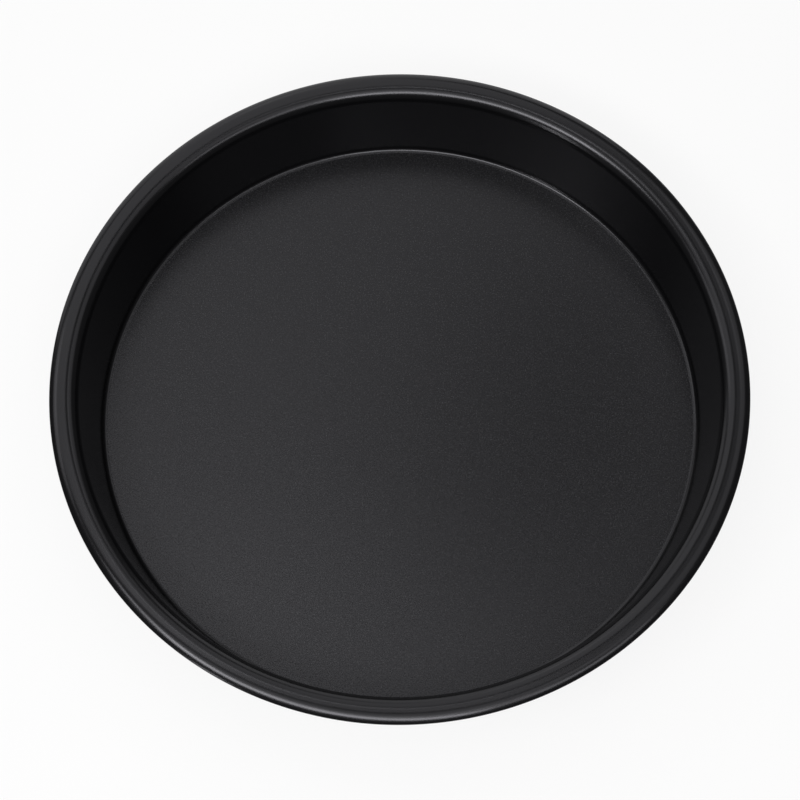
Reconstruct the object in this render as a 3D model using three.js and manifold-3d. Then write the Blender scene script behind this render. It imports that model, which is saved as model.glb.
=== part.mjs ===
// Microwave crisper pan: one round pan pressed from aluminium sheet, a disc of ferrite-loaded silicone
// bonded under its floor, which heats up in the microwave field, and four silicone feet that plug into
// the disc. Millimetres, +Z up. The origin is on the surface that the pan stands on, below its centre.

import * as THREE from "three";
import { mergeVertices } from "three/addons/utils/BufferGeometryUtils.js";
import Module from "manifold-3d";

// Pan, from the edge of the rim inwards; each bend of the sheet is given by its inside radius
const rimDiameter = 300; // over its rolled edge
const rimFlatWidth = 1.5; // between the bends on its two sides
const panDepth = 39; // top of the rim down to the cooking floor
const wallDraft = 10.3; // degrees that the wall leans outwards
const sheetThickness = 1.2;
const lipInsideRadius = 6; // bend of the rim's edge
const lipTurn = 40; // degrees that the rim's edge is rolled down
const foldInsideRadius = 5.2; // bend from the rim down to the wall
const cornerInsideRadius = 2.5; // bend from the wall to the floor

// Ferrite disc under the floor
const absorberInset = 10; // from the edge of the flat underside of the floor
const absorberThickness = 2.5;
const absorberBevel = 1; // round its lower edge

// Feet
const footHeight = 4; // standing surface up to the ferrite disc
const footHeadDiameter = 18;
const footEdgeRadius = 1.5; // round the face that the foot stands on
const footInset = 20; // edge of the ferrite disc to the centre of a foot
const plugDiameter = 10;
const plugClearance = 0.3; // round the plug and above it

// Facets
const panSegments = 96;
const footSegments = 24;
const arcDivisions = 3; // an arc has twice as many facets

// Heights, from the standing surface up
const absorberBottom = footHeight;
const floorUnderside = absorberBottom + absorberThickness;
const floorTop = floorUnderside + sheetThickness;
const rimTop = floorTop + panDepth;

// Each bend of the sheet is a pair of arcs about one centre, which both faces of the sheet share
const quarterTurn = Math.PI / 2;
const draft = THREE.MathUtils.degToRad(wallDraft);
const lipSweep = THREE.MathUtils.degToRad(lipTurn);
const bendReach = Math.tan((quarterTurn - draft) / 2); // sharp corner to the end of an arc, for a unit radius
const rimRadius = rimDiameter / 2;
const lipOutsideRadius = lipInsideRadius + sheetThickness;
const foldOutsideRadius = foldInsideRadius + sheetThickness;
const cornerOutsideRadius = cornerInsideRadius + sheetThickness;
const lip = {
  radius: rimRadius - lipOutsideRadius * Math.sin(lipSweep),
  height: rimTop - lipOutsideRadius,
};
const fold = { radius: lip.radius - rimFlatWidth, height: rimTop - foldOutsideRadius };
const mouthRadius = fold.radius - foldOutsideRadius * bendReach;
const floorRadius = mouthRadius - panDepth * Math.tan(draft);
const corner = {
  radius: floorRadius - cornerInsideRadius * bendReach,
  height: floorTop + cornerInsideRadius,
};

// The feet stand on a circle, at the corners of a square
const absorberRadius = corner.radius - absorberInset;
const footCircleRadius = absorberRadius - footInset;
const plugRadius = plugDiameter / 2;
const footPlaces = [
  { name: "foot_front_left", degrees: 225 },
  { name: "foot_front_right", degrees: 315 },
  { name: "foot_rear_left", degrees: 135 },
  { name: "foot_rear_right", degrees: 45 },
];

const coat = new THREE.MeshStandardMaterial({ color: 0x1b1b1d, roughness: 0.42, metalness: 0.1 });
const ferriteRubber = new THREE.MeshStandardMaterial({ color: 0x2b2a2a, roughness: 0.85, metalness: 0 });
const silicone = new THREE.MeshStandardMaterial({ color: 0x3a3a3c, roughness: 0.7, metalness: 0 });

const wasm = await Module();
wasm.setup();

// Turns a profile of radius and height about the Z axis
function revolve(profile, segments) {
  return new THREE.LatheGeometry(profile.getPoints(arcDivisions), segments).rotateX(quarterTurn);
}

// A closed geometry as a solid that can be cut: shared corners are merged, flat slivers are left out
function solidOf(geometry) {
  const bare = geometry.clone();
  bare.deleteAttribute("normal");
  bare.deleteAttribute("uv");
  const merged = mergeVertices(bare);
  const corners = merged.index.array;
  const triangles = [];
  for (let i = 0; i < corners.length; i += 3) {
    const [a, b, c] = corners.slice(i, i + 3);
    if (a !== b && b !== c && c !== a) {
      triangles.push(a, b, c);
    }
  }
  const vertProperties = new Float32Array(merged.attributes.position.array);
  const triVerts = new Uint32Array(triangles);
  return new wasm.Manifold(new wasm.Mesh({ numProp: 3, vertProperties, triVerts }));
}

function geometryOf(solid) {
  const { numProp, vertProperties, triVerts } = solid.getMesh();
  const geometry = new THREE.BufferGeometry();
  geometry.setAttribute("position", new THREE.BufferAttribute(vertProperties, numProp));
  geometry.setIndex(new THREE.BufferAttribute(triVerts, 1));
  geometry.computeVertexNormals();
  return geometry;
}

function footCentre(degrees) {
  const turn = THREE.MathUtils.degToRad(degrees);
  return new THREE.Vector3(footCircleRadius * Math.cos(turn), footCircleRadius * Math.sin(turn), 0);
}

function subPart(name, geometry, material) {
  const mesh = new THREE.Mesh(geometry, material);
  mesh.name = name;
  return mesh;
}

// One sheet of even thickness: along its underside to the cut edge of the rim, and back along its top
function panBody() {
  const wallOutside = -draft;
  const wallInside = Math.PI - draft;
  const lipEdge = quarterTurn - lipSweep;
  const profile = new THREE.Path();
  profile.moveTo(0, floorUnderside);
  profile.lineTo(corner.radius, floorUnderside);
  profile.absarc(corner.radius, corner.height, cornerOutsideRadius, -quarterTurn, wallOutside, false);
  profile.absarc(fold.radius, fold.height, foldInsideRadius, wallInside, quarterTurn, true);
  profile.absarc(lip.radius, lip.height, lipInsideRadius, quarterTurn, lipEdge, true);
  profile.absarc(lip.radius, lip.height, lipOutsideRadius, lipEdge, quarterTurn, false);
  profile.absarc(fold.radius, fold.height, foldOutsideRadius, quarterTurn, wallInside, false);
  profile.absarc(corner.radius, corner.height, cornerInsideRadius, wallOutside, -quarterTurn, true);
  profile.lineTo(0, floorTop);
  return subPart("pan_body", revolve(profile, panSegments), coat);
}

// The disc has a socket right through it for the plug of each foot
function ferriteAbsorber() {
  const bevel = Math.min(absorberBevel, absorberThickness);
  const profile = new THREE.Path();
  profile.moveTo(0, absorberBottom);
  profile.lineTo(absorberRadius - bevel, absorberBottom);
  profile.lineTo(absorberRadius, absorberBottom + bevel);
  profile.lineTo(absorberRadius, floorUnderside);
  profile.lineTo(0, floorUnderside);
  let disc = solidOf(revolve(profile, panSegments));

  const socketRadius = plugRadius + plugClearance;
  const cutterLength = 2 * absorberThickness;
  for (const { degrees } of footPlaces) {
    const cutter = new THREE.CylinderGeometry(socketRadius, socketRadius, cutterLength, footSegments);
    const { x, y } = footCentre(degrees);
    cutter.rotateX(quarterTurn).translate(x, y, absorberBottom + absorberThickness / 2);
    disc = disc.subtract(solidOf(cutter));
  }
  return subPart("ferrite_absorber", geometryOf(disc), ferriteRubber);
}

// A button that stands under the disc, and a plug that goes up into its socket
function foot({ name, degrees }) {
  const headRadius = footHeadDiameter / 2;
  const edgeRadius = Math.min(footEdgeRadius, footHeight);
  const plugTop = floorUnderside - plugClearance;
  const profile = new THREE.Path();
  profile.moveTo(0, 0);
  profile.lineTo(headRadius - edgeRadius, 0);
  profile.absarc(headRadius - edgeRadius, edgeRadius, edgeRadius, -quarterTurn, 0, false);
  profile.lineTo(headRadius, absorberBottom);
  profile.lineTo(plugRadius, absorberBottom);
  profile.lineTo(plugRadius, plugTop);
  profile.lineTo(0, plugTop);
  const button = subPart(name, revolve(profile, footSegments), silicone);
  button.position.copy(footCentre(degrees));
  return button;
}

const crisperPan = new THREE.Group();
crisperPan.add(panBody(), ferriteAbsorber(), ...footPlaces.map(foot));

export default crisperPan;
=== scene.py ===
# Microwave crisper pan: the pressed and coated pan as one smooth turned sheet, the ferrite rubber disc
# bonded under its floor, and four silicone feet. Metres, +Z up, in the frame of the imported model.

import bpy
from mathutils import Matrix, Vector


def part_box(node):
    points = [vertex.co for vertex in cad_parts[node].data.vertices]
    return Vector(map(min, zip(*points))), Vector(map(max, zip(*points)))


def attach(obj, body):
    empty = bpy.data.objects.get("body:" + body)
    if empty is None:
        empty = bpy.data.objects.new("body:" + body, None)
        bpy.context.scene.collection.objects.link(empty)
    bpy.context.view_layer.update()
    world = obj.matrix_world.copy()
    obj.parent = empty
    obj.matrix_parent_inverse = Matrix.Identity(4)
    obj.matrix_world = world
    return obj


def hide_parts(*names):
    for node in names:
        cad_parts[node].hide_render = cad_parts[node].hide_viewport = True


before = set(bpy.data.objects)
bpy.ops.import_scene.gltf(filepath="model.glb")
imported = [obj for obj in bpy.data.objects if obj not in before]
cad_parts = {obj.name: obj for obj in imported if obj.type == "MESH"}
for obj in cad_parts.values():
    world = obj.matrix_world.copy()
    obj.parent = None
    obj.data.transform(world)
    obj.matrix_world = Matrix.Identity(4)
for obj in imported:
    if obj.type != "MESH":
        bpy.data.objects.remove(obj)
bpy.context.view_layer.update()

import math

import bpy
from mathutils import Matrix, Quaternion, Vector

# Pressed sheet; each bend is given by its inside radius
SHEET = 0.0012
WALL_DRAFT = math.radians(10.3)
RIM_FLAT = 0.0015
LIP_BEND = 0.006
LIP_TURN = math.radians(40)
FOLD_BEND = 0.0052
CORNER_BEND = 0.0025

# Rubber pieces
DISC_EDGE_ROUND = 0.001
SOCKET_CLEARANCE = 0.0003
FOOT_EDGE_ROUND = 0.0015
FOOT_SHOULDER_ROUND = 0.0004
PLUG_RADIUS = 0.005

# Facets
PAN_SEGMENTS = 384
FOOT_SEGMENTS = 96
ARC_STEP = math.radians(4)
FLAT_RINGS = 6
BEND_SUPPORT = 0.0003
LONG_STRAIGHT = 4 * BEND_SUPPORT
ON_AXIS = 1e-9
DISC_SHARP_ANGLE = math.radians(30)
FOOT_SHARP_ANGLE = math.radians(40)

QUARTER = math.pi / 2

# Camera: the photograph is taken from the front and well above, with a slight roll
VIEW_TARGET_OFFSET = Vector((0.0001, -0.0092, 0))
VIEW_DISTANCE = 1.0
VIEW_ELEVATION = math.radians(68.3)
VIEW_ROLL = math.radians(-1.41)
VIEW_LENS = 105.6
SENSOR = 36.0


# Profiles


def arc(centre, radius, start, end):
    """Points of an arc in radius and height, both ends included."""
    steps = max(1, math.ceil(abs(end - start) / ARC_STEP))
    turns = [start + (end - start) * i / steps for i in range(steps + 1)]
    return [(centre[0] + radius * math.cos(t), centre[1] + radius * math.sin(t)) for t in turns]


def with_supports(profile):
    """Adds a point just inside both ends of each long straight, so that shading stays flat there."""
    dense = [profile[0]]
    for (r0, z0), (r1, z1) in zip(profile, profile[1:]):
        length = math.hypot(r1 - r0, z1 - z0)
        if length > LONG_STRAIGHT:
            for share in (BEND_SUPPORT / length, 1 - BEND_SUPPORT / length):
                dense.append((r0 + (r1 - r0) * share, z0 + (z1 - z0) * share))
        dense.append((r1, z1))
    return dense


def flat_rings(radius, height):
    """Rings of a flat face from the axis out to a radius, without its last ring."""
    return [(radius * i / FLAT_RINGS, height) for i in range(FLAT_RINGS)]


def revolve(name, profile, segments, centre=(0, 0)):
    """A closed body turned about a vertical axis from a profile that starts and ends on it."""
    verts, rings = [], []
    for radius, height in profile:
        if radius < ON_AXIS:
            rings.append([len(verts)] * segments)
            verts.append((centre[0], centre[1], height))
            continue
        rings.append(list(range(len(verts), len(verts) + segments)))
        for i in range(segments):
            turn = 2 * math.pi * i / segments
            x, y = radius * math.cos(turn), radius * math.sin(turn)
            verts.append((centre[0] + x, centre[1] + y, height))
    faces = []
    for lower, upper in zip(rings, rings[1:]):
        for i in range(segments):
            j = (i + 1) % segments
            corners = dict.fromkeys((lower[i], lower[j], upper[j], upper[i]))
            faces.append(tuple(corners))
    mesh = bpy.data.meshes.new(name)
    mesh.from_pydata(verts, [], faces)
    mesh.validate()
    mesh.shade_smooth()
    piece = bpy.data.objects.new(name, mesh)
    bpy.context.scene.collection.objects.link(piece)
    return piece


# Materials


class Nodes:
    """Short calls that build one material's node tree."""

    def __init__(self, material):
        material.use_nodes = True
        self.tree = material.node_tree
        self.tree.nodes.clear()

    def add(self, kind, inputs=None, **settings):
        node = self.tree.nodes.new(kind)
        for key, value in settings.items():
            setattr(node, key, value)
        for socket, value in (inputs or {}).items():
            self.put(node.inputs[socket], value)
        return node

    def put(self, socket, value):
        if isinstance(value, bpy.types.NodeSocket):
            self.tree.links.new(value, socket)
        else:
            socket.default_value = value

    def math(self, operation, a, b=0.0, clamp=False):
        node = self.add("ShaderNodeMath", {0: a, 1: b}, operation=operation, use_clamp=clamp)
        return node.outputs[0]

    def span(self, value, low, high, to_low=0.0, to_high=1.0):
        """Maps low..high to to_low..to_high with a soft start and end."""
        names = ("Value", "From Min", "From Max", "To Min", "To Max")
        inputs = dict(zip(names, (value, low, high, to_low, to_high)))
        node = self.add("ShaderNodeMapRange", inputs, interpolation_type="SMOOTHSTEP")
        return node.outputs[0]

    def noise(self, place, size, detail=2.0, roughness=0.5):
        """Soft noise with features of a given size in metres."""
        inputs = {"Vector": place, "Scale": 1 / size, "Detail": detail, "Roughness": roughness}
        return self.add("ShaderNodeTexNoise", inputs).outputs["Fac"]

    def between(self, share, first, second):
        """A number between two others."""
        return self.add("ShaderNodeMix", {0: share, 2: first, 3: second}).outputs[0]

    def blend(self, share, first, second):
        """A colour between two others."""
        inputs = {"Factor": share, "A": first, "B": second}
        node = self.tree.nodes.new("ShaderNodeMix")
        node.data_type = "RGBA"
        colour_sockets = {s.name: s for s in node.inputs if s.enabled}
        for name, value in inputs.items():
            self.put(colour_sockets[name], value)
        return next(s for s in node.outputs if s.enabled)

    def bump(self, height, strength, distance, normal=None):
        inputs = {"Height": height, "Strength": strength, "Distance": distance}
        if normal is not None:
            inputs["Normal"] = normal
        return self.add("ShaderNodeBump", inputs).outputs["Normal"]

    def output(self, surface):
        self.add("ShaderNodeOutputMaterial", {"Surface": surface})


# Non-stick coat; a band is the part of a noise over which a look goes from one state to the other
COAT_BLACK = (0.0020, 0.0020, 0.0023, 1)
COAT_WORN = (0.0030, 0.0030, 0.0033, 1)
COAT_TINT = (0.95, 0.94, 1.0, 1)
COAT_IOR = 1.5
COAT_ROUGHNESS = 0.21
COAT_ROUGHNESS_SPREAD = 0.015
FLOOR_GREY = (0.0050, 0.0050, 0.0056, 1)
FLOOR_SMOOTH = 0.27
FLOOR_ROUGH = 0.38
SPECK_SIZE = 0.00055
SPECK_BAND = (0.64, 0.74)
SPECK_GREY = (0.034, 0.034, 0.036, 1)
PEEL_SIZE = 0.0011
PEEL_HEIGHT = 0.0000010
GRAIN_SIZE = 0.0006
GRAIN_BAND = (0.52, 0.66)
GRAIN_HEIGHT = 0.000005
CLOUD_SIZE = 0.045
CLOUD_BAND = (0.3, 0.7)
FLOOR_EDGE = 0.0001


def coat_material(floor_top):
    """Satin black sprayed coat, smooth on the bends, grained and specked on the cooking floor."""
    material = bpy.data.materials.new("nonstick_coat")
    n = Nodes(material)
    place = n.add("ShaderNodeTexCoord").outputs["Object"]
    height = n.add("ShaderNodeSeparateXYZ", {0: place}).outputs["Z"]
    below = n.span(height, floor_top - 2 * FLOOR_EDGE, floor_top - FLOOR_EDGE)
    above = n.span(height, floor_top + FLOOR_EDGE, floor_top + 2 * FLOOR_EDGE, 1, 0)
    cooking_floor = n.math("MULTIPLY", below, above)

    cloud = n.noise(place, CLOUD_SIZE, 4)
    coat = n.blend(cloud, COAT_BLACK, COAT_WORN)
    low, high = COAT_ROUGHNESS - COAT_ROUGHNESS_SPREAD, COAT_ROUGHNESS + COAT_ROUGHNESS_SPREAD
    smooth_coat = n.span(cloud, *CLOUD_BAND, low, high)
    grain = n.noise(place, GRAIN_SIZE, 1)
    grainy_coat = n.span(grain, *GRAIN_BAND, FLOOR_SMOOTH, FLOOR_ROUGH)
    roughness = n.between(cooking_floor, smooth_coat, grainy_coat)

    floor_coat = n.blend(cooking_floor, coat, FLOOR_GREY)
    specks = n.span(n.noise(place, SPECK_SIZE, 0), *SPECK_BAND)
    colour = n.blend(n.math("MULTIPLY", specks, cooking_floor), floor_coat, SPECK_GREY)

    peel = n.noise(place, PEEL_SIZE, 2)
    normal = n.bump(peel, 1, PEEL_HEIGHT)
    normal = n.bump(n.math("MULTIPLY", grain, cooking_floor), 1, GRAIN_HEIGHT, normal)
    surface = n.add("ShaderNodeBsdfPrincipled", {
        "Base Color": colour, "Roughness": roughness, "IOR": COAT_IOR, "Specular Tint": COAT_TINT,
        "Normal": normal,
    })
    n.output(surface.outputs[0])
    return material


# Ferrite rubber
FERRITE_DARK = (0.026, 0.025, 0.024, 1)
FERRITE_PALE = (0.045, 0.043, 0.041, 1)
FERRITE_IOR = 1.45
FERRITE_ROUGHNESS = (0.66, 0.82)
FERRITE_CLOUD = 0.03
FERRITE_CLOUD_BAND = (0.25, 0.75)
FERRITE_GRAIN = 0.0006
FERRITE_GRAIN_HEIGHT = 0.00004
FERRITE_GRAIN_STRENGTH = 0.8
FERRITE_SPECK_BAND = (0, 0.9)
FERRITE_SPECK_SHARE = (1.2, 0.6)


def ferrite_material():
    """Matt rubber filled with ferrite powder, with a fine moulded grain."""
    material = bpy.data.materials.new("ferrite_rubber")
    n = Nodes(material)
    place = n.add("ShaderNodeTexCoord").outputs["Object"]
    cloud = n.noise(place, FERRITE_CLOUD, 5, 0.6)
    cells = n.add("ShaderNodeTexVoronoi", {"Vector": place, "Scale": 1 / FERRITE_GRAIN})
    specks = n.span(cells.outputs["Distance"], *FERRITE_SPECK_BAND, *FERRITE_SPECK_SHARE)
    colour = n.blend(n.math("MULTIPLY", cloud, specks, True), FERRITE_DARK, FERRITE_PALE)
    roughness = n.span(cloud, *FERRITE_CLOUD_BAND, *FERRITE_ROUGHNESS)
    grain = n.noise(place, FERRITE_GRAIN, 3, 0.6)
    normal = n.bump(grain, FERRITE_GRAIN_STRENGTH, FERRITE_GRAIN_HEIGHT)
    surface = n.add("ShaderNodeBsdfPrincipled", {
        "Base Color": colour, "Roughness": roughness, "IOR": FERRITE_IOR, "Normal": normal,
    })
    n.output(surface.outputs[0])
    return material


# Foot silicone
SILICONE_DARK = (0.042, 0.042, 0.044, 1)
SILICONE_PALE = (0.060, 0.060, 0.062, 1)
SILICONE_IOR = 1.42
SILICONE_ROUGHNESS = (0.48, 0.62)
SILICONE_CLOUD = 0.006
SILICONE_CLOUD_BAND = (0.3, 0.7)
SILICONE_GRAIN = 0.0004
SILICONE_GRAIN_HEIGHT = 0.00001
SILICONE_GRAIN_STRENGTH = 0.6


def silicone_material():
    """Satin dark grey silicone, a little dusty."""
    material = bpy.data.materials.new("foot_silicone")
    n = Nodes(material)
    place = n.add("ShaderNodeTexCoord").outputs["Object"]
    cloud = n.noise(place, SILICONE_CLOUD, 4, 0.6)
    colour = n.blend(cloud, SILICONE_DARK, SILICONE_PALE)
    roughness = n.span(cloud, *SILICONE_CLOUD_BAND, *SILICONE_ROUGHNESS)
    grain = n.noise(place, SILICONE_GRAIN, 2)
    normal = n.bump(grain, SILICONE_GRAIN_STRENGTH, SILICONE_GRAIN_HEIGHT)
    surface = n.add("ShaderNodeBsdfPrincipled", {
        "Base Color": colour, "Roughness": roughness, "IOR": SILICONE_IOR, "Normal": normal,
    })
    n.output(surface.outputs[0])
    return material


def dress(piece, material, slot, *nodes):
    """Gives a piece its material, and sets it in the place of its CAD nodes."""
    piece.data.materials.clear()
    piece.data.materials.append(material)
    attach(piece, "root")
    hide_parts(*nodes)


# Pieces


def make_pan():
    low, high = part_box("pan_body")
    rim_radius, rim_top, underside = high[0], high[2], low[2]
    floor_top = underside + SHEET
    reach = math.tan((QUARTER - WALL_DRAFT) / 2)
    lip = (rim_radius - (LIP_BEND + SHEET) * math.sin(LIP_TURN), rim_top - LIP_BEND - SHEET)
    fold = (lip[0] - RIM_FLAT, rim_top - FOLD_BEND - SHEET)
    mouth = fold[0] - (FOLD_BEND + SHEET) * reach
    floor_radius = mouth - (rim_top - floor_top) * math.tan(WALL_DRAFT)
    corner = (floor_radius - CORNER_BEND * reach, floor_top + CORNER_BEND)
    # The cut edge of the rim is half round, and reaches the rim's full radius
    edge_reach = LIP_BEND + SHEET / 2
    edge_up = math.acos((rim_radius - lip[0] - SHEET / 2) / edge_reach)
    edge = (lip[0] + edge_reach * math.cos(edge_up), lip[1] + edge_reach * math.sin(edge_up))
    outside, inside = -WALL_DRAFT, math.pi - WALL_DRAFT
    profile = [
        *flat_rings(corner[0], underside),
        *arc(corner, CORNER_BEND + SHEET, -QUARTER, outside),
        *arc(fold, FOLD_BEND, inside, QUARTER),
        *arc(lip, LIP_BEND, QUARTER, edge_up),
        *arc(edge, SHEET / 2, edge_up - math.pi, edge_up)[1:-1],
        *arc(lip, LIP_BEND + SHEET, edge_up, QUARTER),
        *arc(fold, FOLD_BEND + SHEET, QUARTER, inside),
        *arc(corner, CORNER_BEND, outside, -QUARTER),
        *reversed(flat_rings(corner[0], floor_top)),
    ]
    pan = revolve("pan_shell", with_supports(profile), PAN_SEGMENTS)
    dress(pan, coat_material(floor_top), "nonstick_coat", "pan_body")


def cut(piece, cutters):
    """Cuts closed bodies out of a piece and removes them."""
    for cutter in cutters:
        modifier = piece.modifiers.new("socket", "BOOLEAN")
        modifier.operation = "DIFFERENCE"
        modifier.solver = "EXACT"
        modifier.object = cutter
    graph = bpy.context.evaluated_depsgraph_get()
    mesh = bpy.data.meshes.new_from_object(piece.evaluated_get(graph))
    piece.modifiers.clear()
    piece.data = mesh
    for cutter in cutters:
        bpy.data.objects.remove(cutter)


FEET = ("foot_front_left", "foot_front_right", "foot_rear_left", "foot_rear_right")


def foot_centre(node):
    low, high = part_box(node)
    return ((low[0] + high[0]) / 2, (low[1] + high[1]) / 2)


def make_disc():
    low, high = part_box("ferrite_absorber")
    radius, bottom, top = high[0], low[2], high[2]
    edge = (radius - DISC_EDGE_ROUND, bottom + DISC_EDGE_ROUND)
    profile = [
        *flat_rings(edge[0], bottom),
        *arc(edge, DISC_EDGE_ROUND, -QUARTER, 0),
        (radius, top),
        *reversed(flat_rings(radius, top)),
    ]
    disc = revolve("absorber_disc", with_supports(profile), PAN_SEGMENTS)
    bore = PLUG_RADIUS + SOCKET_CLEARANCE
    reach = top - bottom
    cutter_low, cutter_high = bottom - reach, top + reach
    cutter = [(0, cutter_low), (bore, cutter_low), (bore, cutter_high), (0, cutter_high)]
    cut(disc, [revolve("socket", cutter, FOOT_SEGMENTS, foot_centre(node)) for node in FEET])
    disc.data.set_sharp_from_angle(angle=DISC_SHARP_ANGLE)
    dress(disc, ferrite_material(), "ferrite_rubber", "ferrite_absorber")


def make_feet():
    material = silicone_material()
    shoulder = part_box("ferrite_absorber")[0][2]
    for node in FEET:
        low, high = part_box(node)
        radius = (high[0] - low[0]) / 2
        edge = (radius - FOOT_EDGE_ROUND, low[2] + FOOT_EDGE_ROUND)
        top_edge = (radius - FOOT_SHOULDER_ROUND, shoulder - FOOT_SHOULDER_ROUND)
        profile = [
            (0, low[2]),
            *arc(edge, FOOT_EDGE_ROUND, -QUARTER, 0),
            *arc(top_edge, FOOT_SHOULDER_ROUND, 0, QUARTER),
            (PLUG_RADIUS, shoulder),
            (PLUG_RADIUS, high[2]),
            (0, high[2]),
        ]
        name = node.replace("foot", "foot_button")
        foot = revolve(name, with_supports(profile), FOOT_SEGMENTS, foot_centre(node))
        foot.data.set_sharp_from_angle(angle=FOOT_SHARP_ANGLE)
        dress(foot, material, "foot_silicone", node)


# Stage
FLOOR_HALF = 10.0
FLOOR_WHITE = (0.95, 0.95, 0.95, 1)
FLOOR_GLOW = 0.86
GLOW_WHITE = (1, 1, 1, 1)
WORLD_GREY = (0.10, 0.10, 0.10, 1)


def make_floor():
    mesh = bpy.data.meshes.new("floor")
    corners = [(-FLOOR_HALF, -FLOOR_HALF, 0), (FLOOR_HALF, -FLOOR_HALF, 0),
               (FLOOR_HALF, FLOOR_HALF, 0), (-FLOOR_HALF, FLOOR_HALF, 0)]
    mesh.from_pydata(corners, [], [(0, 1, 2, 3)])
    floor = bpy.data.objects.new("floor", mesh)
    bpy.context.scene.collection.objects.link(floor)
    material = bpy.data.materials.new("pale_floor")
    n = Nodes(material)
    path = n.add("ShaderNodeLightPath")
    seen = n.math("MAXIMUM", path.outputs["Is Camera Ray"], path.outputs["Is Glossy Ray"])
    seen = n.math("MAXIMUM", seen, path.outputs["Is Transmission Ray"])
    diffuse = n.add("ShaderNodeBsdfDiffuse", {"Color": FLOOR_WHITE})
    glow = n.add("ShaderNodeEmission", {"Color": GLOW_WHITE, "Strength": 1.0})
    share = n.math("MULTIPLY", seen, FLOOR_GLOW)
    white = n.add("ShaderNodeMixShader", {0: share, 1: diffuse.outputs[0], 2: glow.outputs[0]})
    underneath = n.add("ShaderNodeNewGeometry").outputs["Backfacing"]
    clear = n.add("ShaderNodeBsdfTransparent")
    sided = n.add("ShaderNodeMixShader", {0: underneath, 1: white.outputs[0], 2: clear.outputs[0]})
    n.output(sided.outputs[0])
    floor.data.materials.append(material)


def make_world():
    world = bpy.data.worlds.new("studio")
    bpy.context.scene.world = world
    n = Nodes(world)
    sky = n.add("ShaderNodeBackground", {"Color": WORLD_GREY, "Strength": 1.0})
    n.add("ShaderNodeOutputWorld", {"Surface": sky.outputs[0]})


# Lights: azimuth from +X towards +Y, elevation and turn about the lamp's own axis in degrees, width,
# height, radiance
LAMP_DISTANCE = 1.2
SOFTBOXES = {
    "front_bar": (247, 56.5, 0, 1.15, 0.24, 7.0),
    "front_skirt": (258, 66, 0, 1.10, 0.16, 1.6),
    "front_roof": (262, 77, 0, 1.00, 0.45, 0.75),
    "left_bar": (200, 56, 0, 0.34, 0.17, 4.5),
    "left_back_box": (157, 43, 0, 0.45, 0.35, 1.2),
    "right_bar": (316, 51, 0, 0.50, 0.20, 2.5),
    "right_panel": (25, 58.5, -40, 1.10, 0.56, 0.57),
    "right_front_box": (33, 78.5, -93, 0.26, 0.12, 0.80),
    "right_back_box": (59, 56, -24, 0.34, 0.18, 0.65),
    "low_strip": (225, 12, 0, 0.14, 0.09, 9.0),
    "mid_strip": (226, 25, 0, 0.12, 0.17, 6.0),
    "backdrop": (105, 17, 0, 2.20, 0.70, 0.70),
    "roof_panel": (112, 54, 40, 1.10, 0.80, 0.77),
    "roof_box": (105, 78.7, -30, 0.34, 0.09, 2.6),
}


def make_softbox(name, azimuth, elevation, turn, width, height, radiance):
    a, e = math.radians(azimuth), math.radians(elevation)
    out = Vector((math.cos(e) * math.cos(a), math.cos(e) * math.sin(a), math.sin(e)))
    lamp = bpy.data.lights.new(name, "AREA")
    lamp.shape = "RECTANGLE"
    lamp.size, lamp.size_y = width, height
    lamp.energy = radiance * math.pi * width * height
    box = bpy.data.objects.new(name, lamp)
    bpy.context.scene.collection.objects.link(box)
    box.location = out * LAMP_DISTANCE
    box.rotation_mode = "QUATERNION"
    box.rotation_quaternion = out.to_track_quat("Z", "Y") @ Quaternion((0, 0, 1), math.radians(turn))
    box.visible_camera = False


def make_camera():
    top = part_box("pan_body")[1][2]
    target = Vector((0, 0, top)) + VIEW_TARGET_OFFSET
    back = Vector((0, -math.cos(VIEW_ELEVATION), math.sin(VIEW_ELEVATION)))
    right = Vector((1, 0, 0))
    up = back.cross(right)
    c, s = math.cos(VIEW_ROLL), math.sin(VIEW_ROLL)
    x_axis, y_axis = c * right + s * up, c * up - s * right
    data = bpy.data.cameras.new("camera")
    data.lens, data.sensor_width = VIEW_LENS, SENSOR
    camera = bpy.data.objects.new("camera", data)
    bpy.context.scene.collection.objects.link(camera)
    axes = Matrix((x_axis, y_axis, back)).transposed()
    camera.matrix_world = Matrix.Translation(target + back * VIEW_DISTANCE) @ axes.to_4x4()
    bpy.context.scene.camera = camera


make_camera()
make_pan()
make_disc()
make_feet()
make_floor()
make_world()
for name, settings in SOFTBOXES.items():
    make_softbox(name, *settings)
bpy.context.scene.view_settings.view_transform = "Standard"
